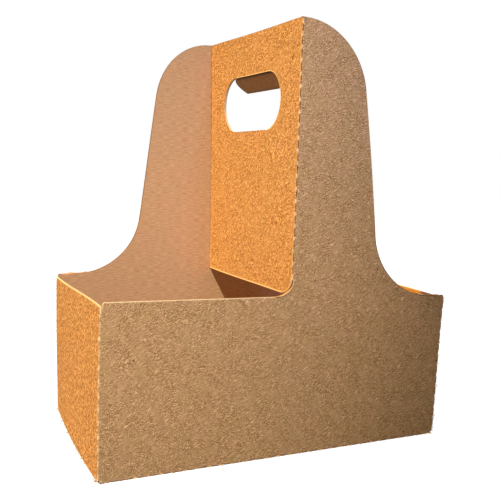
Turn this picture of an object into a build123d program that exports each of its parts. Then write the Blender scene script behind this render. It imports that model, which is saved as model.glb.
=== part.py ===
import os
from math import asin, atan2, cos, degrees, hypot, radians, sin

from build123d import *

# A carrier for two cups, folded from one die-cut blank of kraft board.
# A low sleeve with a folded floor carries the handle: one half of the handle
# rises from the front wall and the other half from the back wall. A leaf folded
# out of each of these walls runs across the middle, and the two leaves are glued
# face to face, so that they join the half handles and hold the hand hole.
# +Z is up, the front faces -Y and the origin is the middle of the underside.
# The carrier is the same after half a turn about Z, apart from the hand hole's
# flap and the glue tab.

# Board
board = 0.6                  # thickness
fold_inside_radius = 0.4     # inside of a crease
edge_gap = 0.5               # from a free edge to the board that it ends at

# Sleeve, outside sizes
width = 184.0                # along X
depth = 105.0                # along Y
leaf_rim_height = 79.2       # rim of a wall where its leaf was cut out
handle_rim_height = 77.2     # rim of a wall beside its half handle
end_height = 76.6            # top of an end wall
rim_bevel_width = 2.0        # cut corner where the leaf rim meets an end wall
rim_bevel_height = 1.0

# Half handle
handle_height = 211.0        # top of the handle above the floor's underside
crown_flat = 1.0             # straight top beside the fold
crown_radius = 35.5          # round shoulder
flare_radius = 36.5          # hollow curve down to the rim
corner_flat = 9.0            # straight rim between the flare and the corner
leaf_corner_radius = 8.0     # round end of the cut that frees a leaf

# Hand hole
hole_length = 68.0
hole_height = 29.5
hole_below_top = 21.7        # board left above the hole
flap_droop = 22.0            # degrees, the pushed-in flap below level

# Floor
corner_relief = 1.0          # notch between the floor flaps at a corner
flap_taper = 3.0             # side of a long floor flap
floor_seam = 0.4             # between the two long floor flaps
end_flap_length = 42.0
end_flap_taper = 16.0
lap_root = 4.0               # where a long flap's tongue starts, short of the middle
lap_depth = 14.0             # how far the tongue reaches past the middle
lap_corner_radius = 6.0

# Glue tab inside the back right corner
tab_width = 16.0
tab_slant = 8.0

# Cut-crease folds
cut_length = 4.0
cut_bridge = 2.0             # uncut board between two cuts
cut_gape = 0.3               # how far a cut opens when the board is folded

quarter_turn = 90

fold_radius = board + fold_inside_radius
cut_pitch = cut_length + cut_bridge
half_width = width / 2
half_depth = depth / 2
wall_end = half_width - fold_radius
leaf_front = -half_depth + fold_radius
leaf_back = half_depth - board - edge_gap
hinge = -board + fold_radius
leaf_foot = leaf_rim_height + leaf_corner_radius
hole_top = handle_height - hole_below_top
hole_middle = hole_top - hole_height / 2
flap_half = wall_end - corner_relief
end_foot = board + fold_radius
end_flap_half = half_depth - fold_radius - corner_relief
end_flap_tip = wall_end - end_flap_length

# The straight flank of a half handle is tangent to its shoulder and its flare
crown_centre = Vector(hinge + crown_flat, handle_height - crown_radius)
flare_centre = Vector(wall_end - corner_flat, handle_rim_height + flare_radius)
centre_run = flare_centre.X - crown_centre.X
centre_drop = crown_centre.Y - flare_centre.Y
flank_slope = degrees(
    atan2(centre_drop, centre_run)
    + asin((crown_radius + flare_radius) / hypot(centre_run, centre_drop))
)

front_face = Plane.XZ.offset(half_depth)
leaf_face = Plane.YZ.offset(-board)


def fold_section(centre, start_angle, turn=quarter_turn):
    """The board's section round a crease: a ring sector, one board thick."""
    with BuildSketch(Plane.XY) as section:
        with BuildLine():
            outside = CenterArc(centre, fold_radius, start_angle, turn)
            inside = CenterArc(centre, fold_inside_radius, start_angle, turn)
            Line(outside @ 0, inside @ 0)
            Line(outside @ 1, inside @ 1)
        make_face()
    return section.sketch


# Half of the carrier: front wall, its leaf, right end wall and their floor flaps
with BuildPart() as half:
    # Front wall with the right half of the handle
    with BuildSketch(front_face):
        with BuildLine():
            foot = Line((-wall_end, fold_radius), (wall_end, fold_radius))
            corner = Line(foot @ 1, (wall_end, handle_rim_height))
            rim = Line(corner @ 1, (flare_centre.X, handle_rim_height))
            flare = CenterArc(flare_centre, flare_radius, -quarter_turn, -flank_slope)
            crown = CenterArc(crown_centre, crown_radius, quarter_turn, -flank_slope)
            Line(flare @ 1, crown @ 1)
            top = Line(crown @ 0, (hinge, handle_height))
            fold = Line(top @ 1, (hinge, leaf_foot))
            relief = CenterArc(
                (hinge - leaf_corner_radius, leaf_foot), leaf_corner_radius, 0, -quarter_turn
            )
            leaf_rim = Line(relief @ 1, (-wall_end + rim_bevel_width, leaf_rim_height))
            bevel = Line(leaf_rim @ 1, (-wall_end, leaf_rim_height - rim_bevel_height))
            Line(bevel @ 1, foot @ 0)
        make_face()
    extrude(amount=-board)

    # Fold between the front wall and its leaf
    with BuildSketch(Plane.XY.offset(leaf_foot)):
        add(fold_section((hinge, leaf_front), 2 * quarter_turn))
    extrude(amount=handle_height - leaf_foot)

    # Leaf, with the hand hole
    with BuildSketch(leaf_face):
        with BuildLine():
            Polyline(
                (leaf_front, leaf_foot),
                (leaf_front, handle_height),
                (leaf_back, handle_height),
                (leaf_back, leaf_rim_height),
                (leaf_front + leaf_corner_radius, leaf_rim_height),
            )
            CenterArc(
                (leaf_front + leaf_corner_radius, leaf_foot),
                leaf_corner_radius,
                -quarter_turn,
                -quarter_turn,
            )
        make_face()
        with Locations((0, hole_middle)):
            SlotOverall(hole_length, hole_height, mode=Mode.SUBTRACT)
    extrude(amount=board)

    # Right end wall with its two corner folds
    with BuildSketch(Plane.XY.offset(end_foot)):
        RectangleRounded(width, depth, fold_radius)
        RectangleRounded(
            width - 2 * board, depth - 2 * board, fold_inside_radius, mode=Mode.SUBTRACT
        )
        with Locations((half_width, 0)):
            Rectangle(2 * fold_radius, depth, mode=Mode.INTERSECT)
    extrude(amount=end_height - end_foot)

    # Long floor flap under the front wall
    with BuildSketch(Plane.YZ):
        add(fold_section((leaf_front, fold_radius), 2 * quarter_turn))
    extrude(amount=flap_half, both=True)
    with BuildSketch(Plane.XY):
        with BuildLine():
            Polyline(
                (-flap_half, leaf_front),
                (flap_half, leaf_front),
                (flap_half - flap_taper, -floor_seam / 2),
                (-flap_half + flap_taper, -floor_seam / 2),
                close=True,
            )
        make_face()
    extrude(amount=board)

    # End flap, folded in on top of the long flaps
    with BuildSketch(Plane.XZ):
        add(fold_section((wall_end, end_foot), -quarter_turn))
    extrude(amount=end_flap_half, both=True)
    with BuildSketch(Plane.XY.offset(board)):
        with BuildLine():
            Polyline(
                (wall_end, -end_flap_half),
                (wall_end, end_flap_half),
                (end_flap_tip, end_flap_half - end_flap_taper),
                (end_flap_tip, -end_flap_half + end_flap_taper),
                close=True,
            )
        make_face()
    extrude(amount=board)

    # Tongue of the long flap, lapped over the other long flap
    with BuildSketch(Plane.XY.offset(board)) as tongue:
        with Locations((end_flap_tip / 2, -lap_root)):
            Rectangle(
                end_flap_tip - 2 * edge_gap, lap_root + lap_depth, align=(Align.CENTER, Align.MIN)
            )
        fillet(tongue.vertices().group_by(Axis.Y)[-1], lap_corner_radius)
    extrude(amount=board)

    # Cut-crease: a row of short cuts through the board along each fold
    upright = (0, 0, 1)
    corner_middle = (end_foot + end_height) / 2
    corner_length = end_height - end_foot
    creases = [
        (Plane((-board, -half_depth, (leaf_foot + handle_height) / 2), upright, (-1, -1, 0)),
         handle_height - leaf_foot),
        (Plane((half_width, -half_depth, corner_middle), upright, (1, -1, 0)), corner_length),
        (Plane((half_width, half_depth, corner_middle), upright, (1, 1, 0)), corner_length),
        (Plane((0, -half_depth, 0), (1, 0, 0), (0, -1, -1)), 2 * flap_half),
        (Plane((half_width, 0, board), (0, 1, 0), (1, 0, -1)), 2 * end_flap_half),
    ]
    for crease, length in creases:
        cuts = int((length - cut_bridge / 2) / cut_pitch)
        with BuildSketch(crease):
            with GridLocations(cut_pitch, 0, cuts, 1):
                Rectangle(cut_length, cut_gape)
        extrude(amount=-hypot(fold_radius, fold_radius), mode=Mode.SUBTRACT)

# Both halves, glued into one folded blank
with BuildPart() as carrier:
    with PolarLocations(0, 2):
        add(half.part)

    # Flap of the hand hole, the upper half of its cut-out, pushed to the right
    flap_turn = quarter_turn - flap_droop
    flap_reach = hole_height / 2 - fold_radius
    flap_hinge = Vector(fold_radius, 0, hole_top)
    flap_normal = Vector(sin(radians(flap_droop)), 0, cos(radians(flap_droop)))
    with BuildSketch(Plane.XZ):
        add(fold_section((fold_radius, hole_top), 2 * quarter_turn, flap_turn))
    extrude(amount=(hole_length - hole_height) / 2, both=True)
    with BuildSketch(Plane(flap_hinge - flap_normal * fold_radius, (0, 1, 0), flap_normal)):
        with Locations((0, -flap_reach)):
            SlotOverall(hole_length - 2 * fold_radius, 2 * flap_reach)
            Rectangle(
                hole_length, flap_reach, align=(Align.CENTER, Align.MIN), mode=Mode.INTERSECT
            )
    extrude(amount=board)

    # Glue tab of the right end wall, inside the back wall
    with BuildSketch(Plane.XZ.offset(board - half_depth)):
        with BuildLine():
            Polyline(
                (wall_end, end_foot),
                (wall_end, end_height),
                (wall_end - tab_width, end_height - tab_slant),
                (wall_end - tab_width, end_foot + tab_slant),
                close=True,
            )
        make_face()
    extrude(amount=board)

carrier.part.label = "carrier"
os.makedirs("parts", exist_ok=True)
export_step(carrier.part, "parts/carrier.step")
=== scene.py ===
from math import asin, atan2, hypot, pi, radians

import bpy
import numpy as np
from mathutils import Matrix, Vector


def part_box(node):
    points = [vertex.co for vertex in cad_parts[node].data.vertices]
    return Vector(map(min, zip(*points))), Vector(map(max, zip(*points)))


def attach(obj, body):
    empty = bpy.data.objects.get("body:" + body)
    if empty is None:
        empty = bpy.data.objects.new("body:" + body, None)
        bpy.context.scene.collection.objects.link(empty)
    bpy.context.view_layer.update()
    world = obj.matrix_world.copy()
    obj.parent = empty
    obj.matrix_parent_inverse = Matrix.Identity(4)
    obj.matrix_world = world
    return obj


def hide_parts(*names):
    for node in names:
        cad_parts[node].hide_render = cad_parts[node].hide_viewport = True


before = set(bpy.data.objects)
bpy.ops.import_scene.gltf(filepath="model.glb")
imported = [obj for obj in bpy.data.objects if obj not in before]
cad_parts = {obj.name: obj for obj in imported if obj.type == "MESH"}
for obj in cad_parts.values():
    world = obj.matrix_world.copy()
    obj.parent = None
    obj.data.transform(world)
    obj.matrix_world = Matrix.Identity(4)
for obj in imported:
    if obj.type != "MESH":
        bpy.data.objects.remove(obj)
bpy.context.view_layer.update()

# A carrier for two cups, folded from one die-cut blank of kraft board. The blank's panels and bends are
# drawn as grids, welded into one sheet, bent the way handling has bent it, and given the board's thickness.
# +Z is up, the front faces -Y and the origin is the middle of the underside, as in the solid.

# Sizes in millimetres: the solid's, apart from the lines that say otherwise
MM = 0.001
lowest, highest = (np.array(corner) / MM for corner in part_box("carrier"))
width, depth, handle_height = np.round(highest - lowest, 2)
board = 0.6                  # thickness
fold_inside_radius = 0.4     # inside of a crease
edge_gap = 0.5               # from a free edge to the board that it ends at
leaf_rim_height = 79.2       # rim of a wall where its leaf was cut out
handle_rim_height = 77.2     # rim of a wall beside its half handle
end_height = 76.6            # top of an end wall
rim_bevel_width = 0.8        # where the leaf rim meets an end wall; narrower than the solid's
rim_bevel_height = 1.0
crown_flat = 1.0             # straight top beside the fold
crown_radius = 35.5          # round shoulder
flare_radius = 36.5          # hollow curve down to the rim
corner_flat = 9.0            # straight rim between the flare and the corner
leaf_corner_radius = 8.0     # round end of the cut that frees a leaf
leaf_corner_run = 11.5       # that corner along the leaf's foot; longer than the solid's, to open a slit
back_leaf_foot = 15.0        # round foot of the back leaf's free edge; square in the solid
hole_length = 68.0
hole_height = 29.5
hole_below_top = 21.7        # board left above the hole
hinge_lift = 0.9             # the hole flap's crease above the hole's top; 0 in the solid
flap_droop = radians(28.0)   # hole flap below level; more than the solid's, as its crease lies higher
corner_relief = 0.55         # notch between the floor flaps; less than the solid's, as folding closed it
flap_taper = 3.0             # side of a long floor flap
floor_seam = 0.4             # between the two long floor flaps
end_flap_length = 42.0
end_flap_taper = 16.0
lap_root = 4.0               # where a long flap's tongue starts, short of the middle
lap_depth = 14.0             # how far the tongue reaches past the middle
lap_corner_radius = 6.0
tab_width = 16.0             # glue tab
tab_slant = 8.0
cut_length = 4.0             # cuts along a crease
cut_bridge = 2.0             # uncut board between two cuts

# How the folds look
glue_line = 0.02             # between two boards that lie face to face
cut_depth = 0.5              # how deep a gaping cut of a crease is
cut_taper = 0.7              # over which a cut runs out into a bridge
cut_sharpness = 0.8          # share of a square corner that the board keeps beside a cut
slit_turn = radians(34)      # where round the bend a cut lies, from the wall's side
slit_spread = radians(7)     # how far round the bend it reaches
slit_shade = 1.6             # how dark the shade painted into a gaping cut's depth is
bridge_bulge = 0.2           # how far a bridge's stretched fibres stand out
edge_fray = 0.8              # width of the frayed margin beside a cut edge
rim_fray = 0.43              # and along the leaf rim
flap_shade = 1.3             # width of the shade painted along the hole flap's crease

# For each fold: how far its cuts gape, how pale it is beside them, and how much darker its flap's side is
# made
handle_fold = (1.0, 0.15, 0.0)
corner_fold = (0.3, 0.28, 0.0)
long_bottom_fold = (0.5, 0.3, 1.1)
short_bottom_fold = (0.5, 0.3, 0.7)

# Wear of a cut edge: above 0 for pale fibres and below 0 for soil
step_wear = 0.5              # bevel at the end of a leaf rim
rim_wear = 1.7
hole_foot_wear = -0.15       # the hole's lower edge and back end
hole_wear = 1.6              # its top edge and front end
soil_wear = -0.5             # tops and half handles
leaf_wear = 0.6              # a leaf's other edges
plain_wear = 0.3             # all other edges
clean_flank = (0.59, 0.85)   # shares of the height between which the front half handle is not soiled
edge_reach = 0.1             # how close to a height or a wall an edge counts as on it
hole_reach = 2.0             # and how close to the hole

# How handling has bent the carrier
panel_warp = 0.45            # how far a panel bows out of its plane
end_wave = (2.3, 0.6)        # bow of end walls and leaves: height of a wave in wall heights, and start
wall_wave = (1.7, 2.0)       # bow of the front and back walls
end_tilt = 1.0               # how far an end wall's top is off level at its corners
tilt_power = 4               # how soon the tilt dies away below the top
end_bulge = 1.4              # how far an end wall bulges at the floor
bulge_power = 6              # how soon the bulge dies away towards the middle
fold_shift = (0.9, -2.2)     # along X, top of the divider in front and at the back
flank_shift = 0.8            # along X, the back half handle's flank at its top
front_sink = 1.0             # how far the front half handle's top has sunk
# Slips of the front left, front right and back left corners, along X, Y and Z
floor_shift = np.array([[-0.5, -1.2, 0.0], [-0.85, 0.8, 0.0], [1.2, 0.0, 0.0]])
rim_shift = np.array([[0.0, 0.0, 0.9], [1.2, 0.0, -0.85], [0.0, 0.0, 0.8]])

# Fibres
leaf_grain = 1.9             # how much taller they look on a leaf, where low light rakes over them
end_grain = 2.4              # and on an end wall
# Fibre contrast painted higher on leaves and end walls: painted light and shade for the low sunlight that
# rakes over them
leaf_painted_raking_contrast = 0.2               # how much more contrast is painted into their colour there
end_painted_raking_contrast = 0.6
# Torn loose at each bridge of the handle fold, the two corners, and the long and short bottom folds
fibres_per_bridge = (5, 6, 6, 18, 8)
fibre_seed = 11
torn_wear = 0.35             # wear above which fibres tear loose
fibre_radius = 0.13          # a tuft of fibres
fibre_length = (0.6, 1.5)    # shortest and longest
fibre_scatter = 0.8          # how far they lean away from straight out
fibre_bend = 0.4             # how far the tip is bent aside, as a share of the length
fibre_rings = ((0.3, 1.0), (0.65, 0.8))  # places along a fibre, and its radius there
fibre_rest = 0.2 * fibre_radius          # least height above the floor

# How finely the grids are divided and joined
weld_digits = 3              # decimals to which points that fall together agree
outline_points = 60          # round each arc of a half handle's outline
relief_columns = 10          # round a leaf's corner
relief_rows = 7              # from the end walls' height up to the leaf rim
hole_bend_rows = 6           # round the hole flap's crease
hole_flap_rows = 12
floor_rows = 10              # of a long floor flap and its tongue
end_flap_rows = 9
lap_corner_points = 7
tab_columns = 7
tab_rows = 20
fold_turns = np.radians([0, 12, 21, 26, 29, 32, 34, 36, 39, 42, 47, 56, 66, 78, 90])

fold_radius = board + fold_inside_radius
fold_run = pi / 2 * fold_radius
cut_pitch = cut_length + cut_bridge
half_width = width / 2
half_depth = depth / 2
wall_end = half_width - fold_radius
leaf_front = -half_depth + fold_radius
leaf_back = half_depth - board - edge_gap
hinge = -board + fold_radius
leaf_foot = leaf_rim_height + leaf_corner_radius
hole_top = handle_height - hole_below_top
hole_middle = hole_top - hole_height / 2
hole_radius = hole_height / 2
hole_straight = (hole_length - hole_height) / 2
flap_half = wall_end - corner_relief
end_foot = board + fold_radius
end_flap_half = half_depth - fold_radius - corner_relief
end_flap_tip = wall_end - end_flap_length
half_turn = np.array([-1.0, -1.0, 1.0])  # round the upright axis
RIGHT = np.array([1.0, 0.0, 0.0])
BACK = np.array([0.0, 1.0, 0.0])
UP = np.array([0.0, 0.0, 1.0])


def steps(start, stop, spacing):
    """Even steps from start to stop, about that far apart."""
    return np.linspace(start, stop, max(2, round(abs(stop - start) / spacing) + 1))


def place(x, y, z):
    """One array of points from three arrays or numbers that broadcast together."""
    return np.stack(np.broadcast_arrays(x, y, z), axis=-1).astype(float)


def place_flat(along, up, wear_and_painted_shade=0.0, painted_raking_contrast=0.0):
    """A place on the flat blank with the board's wear and painted shade, and its painted raking-light
    contrast, as one array.
    """
    return np.stack(np.broadcast_arrays(along, up, wear_and_painted_shade, painted_raking_contrast), axis=-1).astype(float)


def cut_count(first, last):
    """How many cuts a crease between these two ends has."""
    return int((last - first - cut_bridge / 2) / cut_pitch)


def crease_rows(first, last, fineness):
    """Rows along a crease: so many to each pitch, its two ends, and the frayed margin at each end."""
    cuts = cut_count(first, last)
    reach = cuts * cut_pitch / 2
    ticks = (first + last) / 2 + np.linspace(-reach, reach, cuts * fineness + 1)
    return np.unique(np.round(np.r_[first, first + edge_fray, ticks, last - edge_fray, last], 6))


def cut_share(rows):
    """1 along a cut and 0 on a bridge, with a short slope between them."""
    cuts = cut_count(rows[0], rows[-1])
    reach = cuts * cut_pitch / 2
    from_bridge = (rows - (rows[0] + rows[-1]) / 2 + reach) % cut_pitch
    from_bridge = np.minimum(from_bridge, cut_pitch - from_bridge)
    share = np.clip((from_bridge - cut_bridge / 2) / cut_taper + 0.5, 0, 1)
    inside = abs(rows - (rows[0] + rows[-1]) / 2) < reach
    return np.where(inside, share, 0.0)


def crease(corner, run, wall, flap, rows, gape, pale, darkening):
    """The bend from a wall to a flap: a quarter circle round the crease. On a bridge it swells a little.
    At a cut it is drawn out towards the square corner and split by a groove. Returns its points and
    the wear and painted shade there: above 0 for stretched, pale fibres, and below 0 for shade painted
    into the depth of a cut and for the darkening given on the flap's side."""
    turn = fold_turns[:, None]
    out = -(wall + flap) / hypot(1, 1)
    arc = fold_radius * ((1 - np.sin(turn)) * wall + (1 - np.cos(turn)) * flap)
    reach = turn / (pi / 4)
    square = fold_radius * (np.clip(1 - reach, 0, 1) * wall + np.clip(reach - 1, 0, 1) * flap)
    slit = np.exp(-(((turn - slit_turn) / slit_spread) ** 2))
    swell = np.sin(2 * turn) ** 2
    cut = cut_share(rows)[:, None, None]
    bend = arc + cut * (cut_sharpness * (square - arc) - gape * cut_depth * slit * out)
    bend = bend + (1 - cut) * gape * bridge_bulge * swell * out
    # Pale fibres round the bend's middle, shade painted into a cut's depth, and darker towards the flap where
    # darkening is given
    wear_and_painted_shade = swell * np.maximum(1 - cut, pale) - cut * gape * slit_shade * slit - darkening * np.sin(turn) ** 2
    return np.array(corner) + rows[:, None, None] * run + bend, wear_and_painted_shade


def between(start, stop, shares):
    """Rows of points that go from one row to another by the given shares of the way."""
    shares = shares[:, None, None]
    return (1 - shares) * start[None] + shares * stop[None]


def half_handle_outline():
    """The outline of a half handle from the end wall up to the top, as points close together: a step
    up to the rim, the rim, a hollow arc, a straight flank and the round shoulder, all tangent."""
    crown = np.array([hinge + crown_flat, handle_height - crown_radius])
    flare = np.array([wall_end - corner_flat, handle_rim_height + flare_radius])
    run, drop = flare[0] - crown[0], crown[1] - flare[1]
    slope = atan2(drop, run) + asin((crown_radius + flare_radius) / hypot(run, drop))
    sweep = np.linspace(0, slope, outline_points)[:, None]
    hollow = flare + flare_radius * np.hstack([-np.sin(sweep), -np.cos(sweep)])
    round_end = pi / 2 - slope + sweep
    shoulder = crown + crown_radius * np.hstack([np.cos(round_end), np.sin(round_end)])
    foot = [[wall_end, end_height], [wall_end, handle_rim_height]]
    return np.vstack([foot, hollow, shoulder])


def along_outline(points, distances):
    """Points at these distances along a line of points."""
    travelled = np.r_[0, np.cumsum(np.hypot(*np.diff(points, axis=0).T))]
    return np.stack([np.interp(distances, travelled, points[:, axis]) for axis in (0, 1)], axis=-1)


def hole_outline(loop):
    """Where the rays from the hole's middle to the points of a loop cross the hole's edge: a flat
    above and below, a half circle at each end."""
    ray = loop - [0, hole_middle]
    ray = ray / np.hypot(*ray.T)[:, None]
    across, rise = abs(ray[:, 0]), abs(ray[:, 1])
    to_flat = hole_radius / np.maximum(rise, 1e-9)
    past_centre = np.sqrt(np.maximum(hole_radius**2 - (hole_straight * rise) ** 2, 0))
    to_end = hole_straight * across + past_centre
    reach = np.where(to_flat * across <= hole_straight, to_flat, to_end)
    return [0, hole_middle] + reach[:, None] * ray


# The rows and columns that the panels share
bottom_columns = crease_rows(-flap_half, flap_half, fineness=2)
end_columns = crease_rows(-end_flap_half, end_flap_half, fineness=2)
corner_rows = crease_rows(end_foot, end_height, fineness=2)
leaf_rows = crease_rows(leaf_foot, handle_height, fineness=4)
wall_columns = np.r_[-wall_end, bottom_columns, wall_end]
hinge_column = int(np.argmin(abs(wall_columns)))
rim_columns = wall_columns.copy()
rim_columns[hinge_column] = hinge
relief_shares = np.linspace(0, 1, relief_rows)
# From a leaf's outer edge to the hole, with a frayed margin at both
leaf_shares = np.r_[0, 0.012, np.linspace(0.06, 0.94, 9), 0.98, 1]


def front_wall():
    """Three flat grids: the wall up to the end walls' height, the strip under the leaf rim with its
    round corner, and the half handle, ruled from its fold to its outline."""
    rows = np.r_[fold_radius, corner_rows]
    foot = place(wall_columns, -half_depth, fold_radius)
    rim = place(rim_columns, -half_depth, end_height)
    lower = between(foot, rim, (rows - fold_radius) / (end_height - fold_radius))

    sweep = np.linspace(0, pi / 2, relief_columns)
    straight = np.linspace(
        -wall_end + rim_bevel_width, hinge - leaf_corner_radius, hinge_column + 1 - relief_columns
    )
    across = np.r_[-wall_end, straight, hinge - leaf_corner_radius * (1 - np.sin(sweep[1:]))]
    heights = np.full(len(across), leaf_rim_height)
    heights[0] -= rim_bevel_height
    heights[-len(sweep):] = leaf_foot - leaf_corner_radius * np.cos(sweep)
    shares = np.tile(relief_shares[:, None], len(across))
    shares[-2] = 1 - rim_fray / (heights - end_height)
    top = place(across, -half_depth, heights)
    strip = rim[: hinge_column + 1] + shares[..., None] * (top - rim[: hinge_column + 1])

    fold_heights = np.r_[strip[:, -1, 2], leaf_rows[1:]]
    outline = half_handle_outline()
    step = handle_rim_height - end_height
    shares = (fold_heights[1:] - fold_heights[1]) / (handle_height - fold_heights[1])
    length = np.hypot(*np.diff(outline, axis=0).T).sum()
    edge = along_outline(outline, np.r_[0, step + shares * (length - step)])
    # The frayed margin replaces the last columns; it has its full width where the handle is wall_end / 2 wide
    shares = (rim_columns[hinge_column:-3] - hinge) / (wall_end - hinge)
    shares = np.r_[shares, 1 - edge_fray / (wall_end / 2), 1]
    handle = between(
        place(hinge, -half_depth, fold_heights), place(edge[:, 0], -half_depth, edge[:, 1]), shares
    )
    return [(grid, place_flat(grid[..., 0], grid[..., 2]), -BACK) for grid in (lower, strip, handle)]


def leaf_loop(foot):
    """The leaf's outer edge as points: up its fold, along the top, down the free edge, round its foot
    where that has a radius, and back along the bottom and the round corner."""
    sweep = np.linspace(0, pi / 2, relief_columns)[1:]
    turn = sweep if foot else sweep[:0]
    up = place(leaf_front, leaf_rows, 0)
    over = place(steps(leaf_front, leaf_back, spacing=2)[1:], handle_height, 0)
    down = place(leaf_back, steps(handle_height, leaf_rim_height + foot, spacing=3)[1:], 0)
    round_foot = place(
        leaf_back - foot * (1 - np.cos(turn)), leaf_rim_height + foot * (1 - np.sin(turn)), 0
    )
    under = steps(leaf_back - foot, leaf_front + leaf_corner_run, spacing=2)[1:]
    under = place(under, leaf_rim_height, 0)
    corner = place(
        leaf_front + leaf_corner_run * (1 - np.sin(sweep)),
        leaf_foot - leaf_corner_radius * np.cos(sweep),
        0,
    )
    return np.vstack([up, over, down, round_foot, under, corner])[:, :2]


def leaf(lift, foot):
    """A flat ring of rays from the leaf's outer edge to the hand hole, whose flat top may be lifted."""
    loop = leaf_loop(foot)
    hole = hole_outline(loop)
    hole[np.isclose(hole[:, 1], hole_top), 1] += lift
    flat = between(loop, hole, leaf_shares)
    grid = place(-board, flat[..., 0], flat[..., 1])
    along = hinge - fold_run - (flat[..., 0] - leaf_front)
    return grid, place_flat(along, flat[..., 1] / leaf_grain, painted_raking_contrast=leaf_painted_raking_contrast), -RIGHT


def hole_flap():
    """The upper half of the hole's cut-out, bent out at the hole's top edge: a short bend, then a
    plate that widens along a quarter circle at each side."""
    hole = hole_outline(leaf_loop(back_leaf_foot))
    hinge_points = np.sort(hole[np.isclose(hole[:, 1], hole_top), 0])
    turn = np.linspace(0, pi / 2 - flap_droop, hole_bend_rows)
    reach = hole_radius - fold_radius
    sweep = np.linspace(0, pi / 2, hole_flap_rows)[1:]
    plate = reach * (1 - np.cos(sweep))
    last = turn[-1]
    bend_x = -board - fold_inside_radius * (1 - np.cos(turn))
    bend_z = hole_top + hinge_lift - fold_inside_radius * np.sin(turn)
    x = np.r_[bend_x, bend_x[-1] - plate * np.sin(last)]
    z = np.r_[bend_z, bend_z[-1] - plate * np.cos(last)]
    spread = np.r_[np.ones(len(turn)), 1 + reach * np.sin(sweep) / hole_straight]
    grid = place(x[:, None], spread[:, None] * hinge_points, z[:, None])
    travelled = np.r_[turn * fold_inside_radius, turn[-1] * fold_inside_radius + plate]
    # Shade painted along the crease: full on the bend, fading out over the plate
    shaded = np.r_[-np.ones(len(turn)), -np.exp(-((plate / flap_shade) ** 2))]
    return grid, place_flat(grid[..., 1], hole_top - travelled[:, None], shaded[:, None]), UP


def end_wall():
    """A flat grid between the two corner folds."""
    columns = np.r_[leaf_front, end_columns, -leaf_front]
    grid = place(half_width, columns, corner_rows[:, None])
    along = wall_end + fold_run + grid[..., 1] - leaf_front
    return grid, place_flat(along, grid[..., 2] / end_grain, painted_raking_contrast=end_painted_raking_contrast), RIGHT


def floor_flap():
    """The long flap of the front wall: a flat grid that narrows a little towards the middle seam."""
    shares = np.linspace(0, 1, floor_rows)[:, None]
    y = leaf_front + shares * (-floor_seam / 2 - leaf_front)
    grid = place(bottom_columns * (1 - shares * flap_taper / flap_half), y, 0)
    drop = fold_radius - fold_run - (grid[..., 1] - leaf_front)
    return grid, place_flat(grid[..., 0], drop), -UP


def end_flap():
    """The end wall's flap: a flat grid that narrows towards its tip, on top of the long flaps."""
    shares = np.linspace(0, 1, end_flap_rows)[:, None]
    x = wall_end - shares * end_flap_length
    grid = place(x, end_columns * (1 - shares * end_flap_taper / end_flap_half), board)
    drop = end_foot - fold_run - wall_end + grid[..., 0]
    return grid, place_flat(grid[..., 1] + half_width, drop), -UP


def floor_tongue():
    """The long flap's tongue: it rises out of its flap by one board and lies on the other long flap,
    with two round corners."""
    sweep = np.linspace(0, pi / 2, lap_corner_points)
    first, last = edge_gap, end_flap_tip - edge_gap
    round_x = lap_corner_radius * (1 - np.cos(sweep))
    x = np.r_[first + round_x, steps(first, last, spacing=5)[2:-2], (last - round_x)[::-1]]
    end = np.full(len(x), lap_depth)
    end[: len(sweep)] -= lap_corner_radius * (1 - np.sin(sweep))
    end[-len(sweep):] = end[: len(sweep)][::-1]
    shares = np.linspace(0, 1, floor_rows)[:, None]
    y = -lap_root + shares * (end + lap_root)
    lift = np.clip((y + lap_root) / lap_root, 0, 1)
    z = 2 * glue_line + board * lift**2 * (3 - 2 * lift)
    grid = place(x, y, z)
    return grid, place_flat(grid[..., 0], grid[..., 1] - depth), -UP


def glue_tab():
    """The end wall's tab against the inside of the back wall: a flat grid with slanted ends."""
    shares = np.linspace(0, 1, tab_columns)
    slant = tab_slant * shares[:, None]
    heights = between(end_foot + slant, end_height - slant, np.linspace(0, 1, tab_rows))[..., 0]
    grid = place(wall_end - tab_width * shares, half_depth - board - glue_line, heights)
    return grid, place_flat(grid[..., 0] + 2 * width, grid[..., 2]), BACK


def creases():
    """The bends of half the blank, with the flat position and the wear of each point."""
    turn = fold_radius * fold_turns
    start = wall_end + fold_run - 2 * leaf_front
    fold = crease_rows(leaf_foot, handle_height, fineness=12)
    corner = crease_rows(end_foot, end_height, fineness=8)
    bottom = crease_rows(-flap_half, flap_half, fineness=6)
    end = crease_rows(-end_flap_half, end_flap_half, fineness=6)
    # Square corner, run, directions into the wall and the flap, rows, look, place on the flat blank
    layout = [
        ((-board, -half_depth, 0), UP, RIGHT, BACK, fold, handle_fold, (hinge - turn, None)),
        ((half_width, -half_depth, 0), UP, -RIGHT, BACK, corner, corner_fold, (wall_end + turn, None)),
        ((half_width, half_depth, 0), UP, -BACK, -RIGHT, corner, corner_fold, (start + turn, None)),
        ((0, -half_depth, 0), RIGHT, UP, BACK, bottom, long_bottom_fold, (None, fold_radius - turn)),
        ((half_width, 0, board), BACK, UP, -RIGHT, end, short_bottom_fold, (None, end_foot - turn)),
    ]
    bends = []
    for square, run, wall, flap, rows, look, (across, drop) in layout:
        grid, wear_and_painted_shade = crease(square, run, wall, flap, rows, *look)
        flat = (across, rows[:, None]) if drop is None else (rows[:, None], drop)
        bends.append((grid, place_flat(*flat, wear_and_painted_shade[..., 0]), -(wall + flap)))
    return bends


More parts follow.
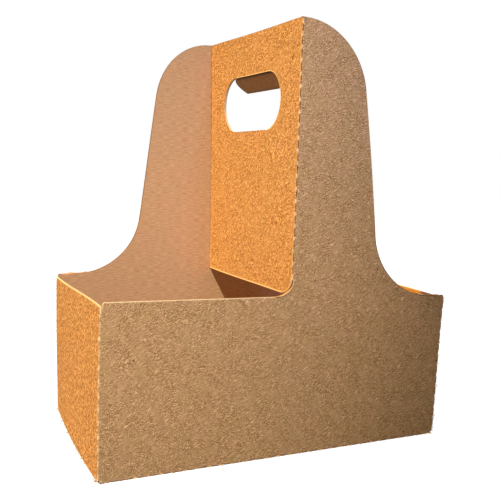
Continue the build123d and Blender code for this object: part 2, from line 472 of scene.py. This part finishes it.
def torn_fibres():
    """Fibres torn loose at the bridges: thin three-sided spindles, each with one bend, that stand out
    of a crease in all directions, but level by the floor. Returns their points and faces."""
    chance = np.random.default_rng(fibre_seed)
    roots, leans = [], []
    for (grid, flat, outward), tufts in zip(creases(), fibres_per_bridge):
        torn = np.argwhere(flat[..., 2] > torn_wear)
        count = tufts * (cut_count(0, np.ptp(grid, axis=(0, 1)).max()) + 1)
        picked = torn[chance.integers(len(torn), size=(2, count))]
        for side, halves in zip(picked, (1, half_turn)):
            roots.append(grid[side[:, 0], side[:, 1]] * halves)
            leans.append(np.tile(outward / hypot(1, 1) * halves, (count, 1)))
    root, lean = np.vstack(roots), np.vstack(leans)
    lean = lean + fibre_scatter * chance.normal(size=lean.shape)
    side = chance.normal(size=lean.shape)
    by_floor = root[:, 2] < 2 * fold_radius
    lean[by_floor, 2] = 0
    side[by_floor] = np.sign(side[by_floor, 2:]) * UP
    lean /= np.linalg.norm(lean, axis=1)[:, None]
    across = np.cross(lean, side)
    across /= np.linalg.norm(across, axis=1)[:, None]
    length = chance.uniform(*fibre_length, (len(root), 1))
    spokes = (2 * pi / 3 * np.arange(3))[:, None]
    ring = np.cos(spokes) * across[:, None] + np.sin(spokes) * np.cross(lean, across)[:, None]

    def centre(share):
        return (root + length * (share * lean + fibre_bend * share**2 * across))[:, None]

    rings = [centre(share) + fibre_radius * girth * ring for share, girth in fibre_rings]
    points = np.concatenate([centre(0), *rings, centre(1)], axis=1)
    points[..., 2] = np.maximum(points[..., 2], fibre_rest)
    root_faces = [[0, 2, 1], [0, 3, 2], [0, 1, 3]]
    side_faces = [[1, 2, 5, 4], [2, 3, 6, 5], [3, 1, 4, 6]]
    tip_faces = [[4, 5, 7], [5, 6, 7], [6, 4, 7]]
    spindle = [*root_faces, *side_faces, *tip_faces]
    each = points.shape[1]
    faces = [[each * number + corner for corner in face] for number in range(len(root)) for face in spindle]
    return points.reshape(-1, 3), faces


def turned(grid, flat, outward):
    """The same grid half a turn round the upright axis, cut from another stretch of board."""
    flat = flat.copy()
    flat[..., 1] += 2 * handle_height
    return grid * half_turn, flat, outward * half_turn


def open_sides(faces):
    """For each face, which of its sides belong to no other face."""
    sides = [np.sort(np.stack([face, np.roll(face, -1)], axis=-1), axis=-1) for face in faces]
    _, kind, uses = np.unique(np.vstack(sides), axis=0, return_inverse=True, return_counts=True)
    single = uses[kind.ravel()] == 1
    return np.split(single, np.cumsum([len(side) for side in sides])[:-1])


def weld(grids):
    """Joins grids into one mesh: each grid's cells are its faces, turned to look outward, and points
    that fall together become one. Where a fine grid meets a coarse one, the coarse face takes up the
    points on its side. Returns the points, the faces, and each face corner's place on the flat blank,
    wear and painted shade, and painted raking-light contrast."""
    points, looks, faces, count = [], [], [], 0
    for grid, flat, outward in grids:
        face = np.cross(grid[:-1, 1:] - grid[:-1, :-1], grid[1:, :-1] - grid[:-1, :-1]).sum((0, 1))
        if face @ outward < 0:
            grid, flat = grid[::-1], flat[::-1]
        index = count + np.arange(grid[..., 0].size).reshape(grid.shape[:2])
        cells = [index[:-1, :-1], index[:-1, 1:], index[1:, 1:], index[1:, :-1]]
        faces.append(np.stack(cells, axis=-1).reshape(-1, 4))
        points.append(grid.reshape(-1, 3))
        looks.append(flat.reshape(-1, 4))
        count += index.size
    points, looks, faces = np.vstack(points), np.vstack(looks), np.vstack(faces)
    _, first, joined = np.unique(
        np.round(points, weld_digits), axis=0, return_index=True, return_inverse=True
    )
    points = points[first]
    looks = list(looks[faces])
    faces = list(joined.ravel()[faces])

    single = open_sides(faces)
    ends = [np.r_[face[free], np.roll(face, -1)[free]] for face, free in zip(faces, single)]
    loose = np.unique(np.concatenate(ends))
    slack = 1e-6
    for number in [number for number, free in enumerate(single) if free.any()]:
        face, look = faces[number], looks[number]
        for side in np.flatnonzero(single[number])[::-1]:
            start, stop = points[face[side]], points[face[(side + 1) % len(face)]]
            run = stop - start
            share = (points[loose] - start) @ run / max(run @ run, 1e-12)
            off = np.linalg.norm(points[loose] - start - share[:, None] * run, axis=1)
            on_side = (share > slack) & (share < 1 - slack) & (off < 10.0**-weld_digits)
            order = np.flatnonzero(on_side)[np.argsort(share[on_side])]
            extra = look[side] + share[order, None] * (look[(side + 1) % len(face)] - look[side])
            face = np.insert(face, side + 1, loose[order])
            look = np.insert(look, side + 1, extra, axis=0)
        faces[number], looks[number] = face, look

    looks = np.vstack(looks)
    rub_edges(points, faces, looks)
    return points, [face.tolist() for face in faces], looks


def rub_edges(points, faces, looks):
    """Sets the wear along the cut edges, the sides that belong to one face only, by what edge it is."""
    edge = np.zeros(len(points), bool)
    for face, free in zip(faces, open_sides(faces)):
        edge[face[free]] = True
        edge[np.roll(face, -1)[free]] = True
    corners = np.concatenate(faces)
    x, y, z = points[corners].T
    on_wall = abs(y) > half_depth - edge_reach
    by_handle = on_wall & (x * y < 0)
    rim = (z < np.where(on_wall, leaf_foot, leaf_rim_height) + edge_reach) & ~by_handle
    step = rim & on_wall & (abs(x) > wall_end - rim_bevel_width / 2)
    on_leaf = abs(x) < fold_radius
    hole = on_leaf & (abs(z - hole_middle) < hole_radius + hole_reach)
    hole &= abs(y) < hole_length / 2 + hole_reach
    hole_foot = hole & (y > -hole_straight) & (z < hole_top)
    low, high = np.array(clean_flank) * handle_height
    soiled_flank = ~on_leaf & ((z < low) | (z > high) | (y > 0))
    soiled = (z > handle_height - edge_reach) | soiled_flank
    rubbed = np.select(
        [step, rim, hole_foot, hole, soiled, on_leaf],
        [step_wear, rim_wear, hole_foot_wear, hole_wear, soil_wear, leaf_wear],
        plain_wear,
    )
    looks[:, 2] = np.where(edge[corners], rubbed, looks[:, 2])


def bowed(points):
    """How handling has bent the carrier. The panels bow in slow sine waves, more with height. The
    corners have slipped by the shifts above, shared out evenly between them, and the divider is twisted
    at its top. The end walls bulge at the floor, and their tops lean off level, up at one corner and
    down at the other. The front half handle has sunk."""
    x, y, z = points.T
    grown = np.clip(z / end_height, 0, 1)
    raised = np.clip((z - end_height) / (handle_height - end_height), 0, 1)
    (end_climb, end_start), (wall_climb, wall_start) = end_wave, wall_wave
    bow = panel_warp * grown * np.sin(2 * pi * (y / depth + z / (end_climb * end_height)) + end_start)
    lean = panel_warp * grown * np.sin(2 * pi * (x / width + z / (wall_climb * end_height)) + wall_start)
    right, back = x / width + 0.5, y / depth + 0.5
    share = np.stack([(1 - right) * (1 - back), right * (1 - back), (1 - right) * back])
    slip = ((1 - grown) * share).T @ floor_shift + (grown * share).T @ rim_shift
    by_fold = np.clip(1 - abs(x) / crown_radius, 0, 1)
    fold_slip = fold_shift[0] * (1 - back) + fold_shift[1] * back
    twist = raised * (by_fold * fold_slip + (1 - by_fold) * back * flank_shift)
    by_end = np.sign(x) * (x / half_width) ** bulge_power
    bulge = end_bulge * (1 - grown) * by_end * np.cos(pi * y / depth)
    on_end = np.clip((abs(x) - wall_end) / fold_radius, 0, 1)
    tilt = end_tilt * on_end * grown**tilt_power * (x * y) / (half_width * half_depth)
    sink = front_sink * raised * (1 - back)
    return points + slip + place(bow + twist + bulge, lean, tilt - sink)


def add_piece(name, points, faces, materials):
    """A mesh object at the origin from points in millimetres."""
    mesh = bpy.data.meshes.new(name)
    mesh.from_pydata(points * MM, [], faces)
    for material in materials:
        mesh.materials.append(material)
    piece = bpy.data.objects.new(name, mesh)
    bpy.context.scene.collection.objects.link(piece)
    return piece


# Materials
def linear(hex_colour):
    """An sRGB hex colour as linear RGBA."""
    srgb = np.array([int(hex_colour[i:i + 2], 16) for i in (1, 3, 5)]) / 255
    rgb = np.where(srgb <= 0.04045, srgb / 12.92, ((srgb + 0.055) / 1.055) ** 2.4)
    return (*rgb, 1.0)


def node(tree, kind, inputs=(), **settings):
    """Adds a node with its settings; an input is a value or another node's output."""
    made = tree.nodes.new(kind)
    for name, value in settings.items():
        setattr(made, name, value)
    for socket, value in dict(inputs).items():
        if isinstance(value, bpy.types.NodeSocket):
            tree.links.new(value, made.inputs[socket])
        else:
            made.inputs[socket].default_value = value
    return made


def clouded(tree, ground, cloud, tints):
    """A colour with cloudy patches: it is multiplied by one tint or the other."""
    patch = node(
        tree, "ShaderNodeMapRange", {"Value": cloud, "From Min": 0.35, "From Max": 0.65}
    ).outputs[0]
    tint = node(
        tree, "ShaderNodeMix", {0: patch, 6: linear(tints[0]), 7: linear(tints[1])}, data_type="RGBA"
    ).outputs[2]
    return node(
        tree, "ShaderNodeMix", {0: 1.0, 6: ground, 7: tint}, data_type="RGBA", blend_type="MULTIPLY"
    ).outputs[2]


def worn_liner_with_painted_shade(tree, ground, torn):
    """A liner's colour where it is worn and where shade is painted: torn fibres make it paler where the
    value is above 0, by the given share, and it turns dark brown where the value is below 0: shade
    painted into the depth of a cut and along the hole flap's crease, soil at cut edges, and the
    darkening given to the bottom folds' flap side."""
    wear_and_painted_shade = node(tree, "ShaderNodeAttribute", attribute_name="wear_and_painted_shade").outputs["Fac"]
    pale = node(
        tree, "ShaderNodeMath", {0: wear_and_painted_shade, 1: torn}, operation="MULTIPLY", use_clamp=True
    ).outputs[0]
    ground = node(
        tree, "ShaderNodeMix", {0: pale, 6: ground, 7: linear("#F8DFB4")}, data_type="RGBA"
    ).outputs[2]
    painted_shade_and_darkening = node(
        tree, "ShaderNodeMath", {0: wear_and_painted_shade, 1: -1.0}, operation="MULTIPLY", use_clamp=True
    ).outputs[0]
    return node(
        tree, "ShaderNodeMix", {0: painted_shade_and_darkening, 6: ground, 7: linear("#3A2413")}, data_type="RGBA"
    ).outputs[2]


def kraft_outer_face():
    """Unbleached kraft board, uncoated: brown and pale wood fibres lie felted on the surface, most of
    them along the paper machine's run, so it looks woolly, with cloudy patches and a few dark specks of
    bark. Where it is folded or cut, torn fibres make it paler. Shade is painted dark brown into the
    depth of gaping cuts and along the hole flap's crease, and the fibres' contrast is painted higher on
    leaves and end walls, for the low light that rakes over them."""
    material = bpy.data.materials.new("kraft_board_outer_face")
    material.use_nodes = True
    tree = material.node_tree
    shader = tree.nodes["Principled BSDF"]
    flat = node(tree, "ShaderNodeUVMap", uv_map="flat_blank").outputs["UV"]

    # Fibres are about 0.03 mm wide; drawn 0.3 mm wide so that they show
    wander = node(tree, "ShaderNodeTexNoise", {"Vector": flat, "Scale": 1 / (3.5 * MM), "Detail": 1.0})
    bent = node(
        tree,
        "ShaderNodeVectorMath",
        {0: wander.outputs["Color"], 1: (1.6 * MM,) * 3, 2: flat},
        operation="MULTIPLY_ADD",
    ).outputs[0]
    felt = None
    for turn, length, breadth in ((22, 2.4, 0.3), (-8, 2.2, 0.3), (50, 1.7, 0.36)):
        laid = node(
            tree,
            "ShaderNodeMapping",
            {"Vector": bent, "Rotation": (0, 0, radians(turn)), "Scale": (length * MM, breadth * MM, 1)},
            vector_type="TEXTURE",
        ).outputs[0]
        layer = node(
            tree, "ShaderNodeTexNoise", {"Vector": laid, "Scale": 1.0, "Detail": 1.0}
        ).outputs["Fac"]
        if felt is None:
            felt = layer
        else:
            felt = node(tree, "ShaderNodeMath", {0: felt, 1: layer}, operation="MAXIMUM").outputs[0]
    grain = node(
        tree, "ShaderNodeTexNoise", {"Vector": flat, "Scale": 1 / (0.5 * MM), "Detail": 1.0}
    ).outputs["Fac"]
    relief = node(tree, "ShaderNodeMath", {0: grain, 1: 0.7, 2: felt}, operation="MULTIPLY_ADD").outputs[0]
    shade = node(
        tree, "ShaderNodeMapRange", {"Value": relief, "From Min": 0.84, "From Max": 1.16}
    ).outputs[0]
    tuft = node(
        tree, "ShaderNodeTexNoise", {"Vector": flat, "Scale": 1 / (7 * MM), "Detail": 1.0}
    ).outputs["Fac"]
    felted = node(
        tree, "ShaderNodeMapRange", {"Value": tuft, "From Min": 0.3, "From Max": 0.58, "To Min": 0.4}
    ).outputs[0]
    # On leaves and end walls the fibres' contrast is painted higher, for the low light that rakes over them
    painted_raking_contrast = node(tree, "ShaderNodeAttribute", attribute_name="painted_raking_contrast").outputs["Fac"]
    felted = node(tree, "ShaderNodeMath", {0: felted, 1: painted_raking_contrast}, operation="ADD").outputs[0]
    shade = node(tree, "ShaderNodeMix", {0: felted, 2: 0.41, 3: shade}, clamp_factor=False).outputs[0]
    combed = node(
        tree,
        "ShaderNodeMapping",
        {"Vector": bent, "Rotation": (0, 0, radians(35)), "Scale": (4 * MM, 0.35 * MM, 1)},
        vector_type="TEXTURE",
    ).outputs[0]
    strand = node(
        tree, "ShaderNodeTexNoise", {"Vector": combed, "Scale": 1.0, "Detail": 0.0}
    ).outputs["Fac"]
    hair = node(tree, "ShaderNodeMapRange", {"Value": strand, "From Min": 0.66, "From Max": 0.8}).outputs[0]
    shade = node(tree, "ShaderNodeMath", {0: hair, 1: 0.6, 2: shade}, operation="MULTIPLY_ADD").outputs[0]
    ground = node(
        tree, "ShaderNodeMix", {0: shade, 6: linear("#966B3E"), 7: linear("#FFD9A9")}, data_type="RGBA"
    ).outputs[2]

    cloud = node(
        tree, "ShaderNodeTexNoise", {"Vector": flat, "Scale": 1 / (11 * MM), "Detail": 2.0}
    ).outputs["Fac"]
    ground = clouded(tree, ground, cloud, ("#FFF7F5", "#F8F4E9"))
    speck = node(
        tree, "ShaderNodeTexNoise", {"Vector": bent, "Scale": 1 / (2.4 * MM), "Detail": 0.0}
    ).outputs["Fac"]
    bark = node(tree, "ShaderNodeMapRange", {"Value": speck, "From Min": 0.86, "From Max": 0.9}).outputs[0]
    ground = node(
        tree, "ShaderNodeMix", {0: bark, 6: ground, 7: linear("#5E4128")}, data_type="RGBA"
    ).outputs[2]

    torn = node(tree, "ShaderNodeMapRange", {"Value": grain, "To Min": 0.5, "To Max": 1.2}).outputs[0]
    colour = worn_liner_with_painted_shade(tree, ground, torn)
    bump = node(
        tree, "ShaderNodeBump", {"Height": relief, "Strength": 0.5, "Distance": 0.2 * MM}
    ).outputs["Normal"]
    tree.links.new(colour, shader.inputs["Base Color"])
    tree.links.new(bump, shader.inputs["Normal"])
    shader.inputs["Roughness"].default_value = 0.85
    shader.inputs["IOR"].default_value = 1.5
    shader.inputs["Specular IOR Level"].default_value = 0.25
    return material


def kraft_inner_face():
    """The board's inner liner: calendered smoother than the outer one, with faint fine lines along
    the paper machine's run, drawn coarser than they are so that they show, and cloudy patches."""
    material = bpy.data.materials.new("kraft_board_inner_face")
    material.use_nodes = True
    tree = material.node_tree
    shader = tree.nodes["Principled BSDF"]
    flat = node(tree, "ShaderNodeUVMap", uv_map="flat_blank").outputs["UV"]
    drawn = node(
        tree,
        "ShaderNodeMapping",
        {"Vector": flat, "Scale": (4 * MM, 0.4 * MM, 1)},
        vector_type="TEXTURE",
    ).outputs[0]
    lines = node(tree, "ShaderNodeTexNoise", {"Vector": drawn, "Scale": 1.0, "Detail": 1.0}).outputs["Fac"]
    cloud = node(
        tree, "ShaderNodeTexNoise", {"Vector": flat, "Scale": 1 / (12 * MM), "Detail": 2.0}
    ).outputs["Fac"]
    grain = node(
        tree, "ShaderNodeTexNoise", {"Vector": flat, "Scale": 1 / (0.6 * MM), "Detail": 1.0}
    ).outputs["Fac"]
    lines = node(tree, "ShaderNodeMath", {0: grain, 1: 0.6, 2: lines}, operation="MULTIPLY_ADD").outputs[0]
    shade = node(tree, "ShaderNodeMapRange", {"Value": lines, "From Min": 0.5, "From Max": 1.1}).outputs[0]
    ground = node(
        tree, "ShaderNodeMix", {0: shade, 6: linear("#AC8259"), 7: linear("#D3AB7E")}, data_type="RGBA"
    ).outputs[2]
    ground = clouded(tree, ground, cloud, ("#FFFBF9", "#FCFCF7"))
    # Shade painted into cut depths and along the hole flap's crease darkens this liner too
    colour = worn_liner_with_painted_shade(tree, ground, torn=0.5)
    bump = node(
        tree, "ShaderNodeBump", {"Height": lines, "Strength": 0.2, "Distance": 0.05 * MM}
    ).outputs["Normal"]
    tree.links.new(colour, shader.inputs["Base Color"])
    tree.links.new(bump, shader.inputs["Normal"])
    shader.inputs["Roughness"].default_value = 0.7
    shader.inputs["IOR"].default_value = 1.5
    shader.inputs["Specular IOR Level"].default_value = 0.3
    return material


def cut_board_edge(name, dark, pale):
    """The board's core where the die cut it or the fold tore it: short fibres, most of them paler than
    the liners, and brown where the edge is soiled."""
    material = bpy.data.materials.new(name)
    material.use_nodes = True
    tree = material.node_tree
    shader = tree.nodes["Principled BSDF"]
    place_on = node(tree, "ShaderNodeTexCoord").outputs["Object"]
    core = node(
        tree, "ShaderNodeTexNoise", {"Vector": place_on, "Scale": 1 / (1.5 * MM), "Detail": 2.0}
    ).outputs["Fac"]
    shade = node(tree, "ShaderNodeMapRange", {"Value": core, "From Min": 0.3, "From Max": 0.7}).outputs[0]
    ground = node(
        tree, "ShaderNodeMix", {0: shade, 6: linear(dark), 7: linear(pale)}, data_type="RGBA"
    ).outputs[2]
    wear_and_painted_shade = node(tree, "ShaderNodeAttribute", attribute_name="wear_and_painted_shade").outputs["Fac"]
    darkening = node(
        tree, "ShaderNodeMath", {0: wear_and_painted_shade, 1: -1.6}, operation="MULTIPLY", use_clamp=True
    ).outputs[0]
    colour = node(
        tree, "ShaderNodeMix", {0: darkening, 6: ground, 7: linear("#6E4E30")}, data_type="RGBA"
    ).outputs[2]
    tree.links.new(colour, shader.inputs["Base Color"])
    shader.inputs["Roughness"].default_value = 0.9
    shader.inputs["IOR"].default_value = 1.5
    shader.inputs["Specular IOR Level"].default_value = 0.2
    return material


def add_blank():
    """The whole folded blank: two halves, the hole's flap and the glue tab, one board thick."""
    half = [*front_wall(), end_wall(), floor_flap(), end_flap(), floor_tongue(), *creases()]
    back = [turned(*grid) for grid in [*half, leaf(hinge_lift, back_leaf_foot), hole_flap()]]
    points, faces, looks = weld([*half, leaf(0, 0), *back, glue_tab()])
    cut_edge = cut_board_edge("kraft_board_cut_edge", "#E9CC9F", "#FBE9CB")
    materials = [kraft_outer_face(), kraft_inner_face(), cut_edge]
    blank = add_piece("folded_blank", bowed(points), faces, materials)
    layer = blank.data.uv_layers.new(name="flat_blank")
    layer.data.foreach_set("uv", (looks[:, :2] * MM).ravel())
    for name, column in (("wear_and_painted_shade", 2), ("painted_raking_contrast", 3)):
        values = blank.data.attributes.new(name, "FLOAT", "CORNER")
        values.data.foreach_set("value", np.ascontiguousarray(looks[:, column]))
    solid = blank.modifiers.new("board", "SOLIDIFY")
    solid.thickness = (board - glue_line) * MM
    solid.offset = -1.0
    solid.material_offset = 1
    solid.material_offset_rim = 2
    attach(blank, "root")
    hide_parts("carrier")


def add_fibres():
    """The loose fibres of all creases, as one piece."""
    points, faces = torn_fibres()
    fibre = cut_board_edge("torn_kraft_fibre", "#8A6238", "#FBE9CB")
    piece = add_piece("torn_fibres", bowed(points), faces, [fibre])
    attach(piece, "root")


# Stage
def add_floor():
    """A wide floor of grey paper. The camera sees it nearly white, with a soft shadow, apart from the
    stretch that the carrier covers, which keeps its own grey."""
    paper_grey, added_white, reach = linear("#717F8E"), 0.93, 3000.0
    covered = bpy.data.materials.new("covered_paper_floor")
    covered.use_nodes = True
    shader = covered.node_tree.nodes["Principled BSDF"]
    shader.inputs["Base Color"].default_value = paper_grey
    shader.inputs["Roughness"].default_value = 1.0
    material = bpy.data.materials.new("white_paper_floor")
    material.use_nodes = True
    tree = material.node_tree
    tree.nodes.clear()
    seen = node(tree, "ShaderNodeLightPath").outputs["Is Camera Ray"]
    strength = node(tree, "ShaderNodeMath", {0: seen, 1: added_white}, operation="MULTIPLY").outputs[0]
    paper = node(tree, "ShaderNodeBsdfDiffuse", {"Color": paper_grey}).outputs[0]
    white = node(tree, "ShaderNodeEmission", {"Color": linear("#FFFFFF"), "Strength": strength}).outputs[0]
    shown = node(tree, "ShaderNodeAddShader", {0: paper, 1: white}).outputs[0]
    node(tree, "ShaderNodeOutputMaterial", {"Surface": shown})

    square = np.array([[-1, -1, 0], [1, -1, 0], [1, 1, 0], [-1, 1, 0]])
    under = bowed(square * [wall_end, half_depth - fold_radius, 0])
    round_it = [(i, (i + 1) % 4, (i + 1) % 4 + 4, i + 4) for i in range(4)]
    points = np.vstack([square * reach, under])
    floor = add_piece("floor", points, [*round_it, (4, 5, 6, 7)], [material, covered])
    floor.data.polygons[4].material_index = 1


def add_lamp(name, kind, colour, strength, source, target, **settings):
    """A lamp at a source point that shines at a target point, both in millimetres."""
    lamp = bpy.data.lights.new(name, kind)
    lamp.color = linear(colour)[:3]
    lamp.energy = strength
    for setting, value in settings.items():
        setattr(lamp, setting, value)
    holder = bpy.data.objects.new(name, lamp)
    aim = (Vector(target) - Vector(source)).to_track_quat("-Z", "Y").to_matrix().to_4x4()
    holder.matrix_world = Matrix.Translation(Vector(source) * MM) @ aim
    bpy.context.scene.collection.objects.link(holder)


def add_light():
    """A window ahead and to the left, whose light fades to the lower right, a warm lamp on the left,
    some blue sky on the handle, a faint fill from behind and a dim room."""
    add_lamp(
        "window", "SPOT", "#FFFCF9", 68.0, (-460, -921, 898), (-128, -52, 170),
        spot_size=radians(21), spot_blend=1.0, shadow_soft_size=25 * MM,
    )
    add_lamp("warm_lamp", "SUN", "#FFC230", 4.35, (-700, -9, 740), (0, 0, 0), angle=radians(2))
    add_lamp(
        "sky", "SPOT", "#95B0FF", 9.0, (60, -650, 640), (30, -52, 235),
        spot_size=radians(21), spot_blend=1.0, shadow_soft_size=60 * MM,
    )
    add_lamp(
        "back_fill", "AREA", "#DCE8FF", 15.0, (900, 800, 600), (0, 0, 100), shape="DISK", size=700 * MM
    )
    world = bpy.data.worlds.new("room")
    bpy.context.scene.world = world
    world.use_nodes = True
    tree = world.node_tree
    tree.nodes.clear()
    seen = node(tree, "ShaderNodeLightPath").outputs["Is Camera Ray"]
    room = node(tree, "ShaderNodeBackground", {"Color": linear("#F4F5FF"), "Strength": 0.225}).outputs[0]
    white = node(tree, "ShaderNodeBackground", {"Color": linear("#FFFFFF"), "Strength": 1.0}).outputs[0]
    shown = node(tree, "ShaderNodeMixShader", {0: seen, 1: room, 2: white}).outputs[0]
    node(tree, "ShaderNodeOutputWorld", {"Surface": shown})


def add_camera():
    """The photograph's viewpoint: place, turn and lens fitted to the carrier's corners."""
    place_mm = Vector((-162.6, -353.7, 136.3))
    azimuth, elevation, roll = radians(-24.97), radians(5.92), radians(1.96)
    lens = bpy.data.cameras.new("camera")
    lens.sensor_width = 36.0
    lens.lens = 51.9
    camera = bpy.data.objects.new("camera", lens)
    turn = Matrix.Rotation(azimuth, 4, "Z") @ Matrix.Rotation(pi / 2 - elevation, 4, "X")
    camera.matrix_world = Matrix.Translation(place_mm * MM) @ turn @ Matrix.Rotation(roll, 4, "Z")
    bpy.context.scene.collection.objects.link(camera)
    bpy.context.scene.camera = camera


add_blank()
add_fibres()
add_floor()
add_light()
add_camera()
bpy.context.scene.view_settings.view_transform = "Standard"
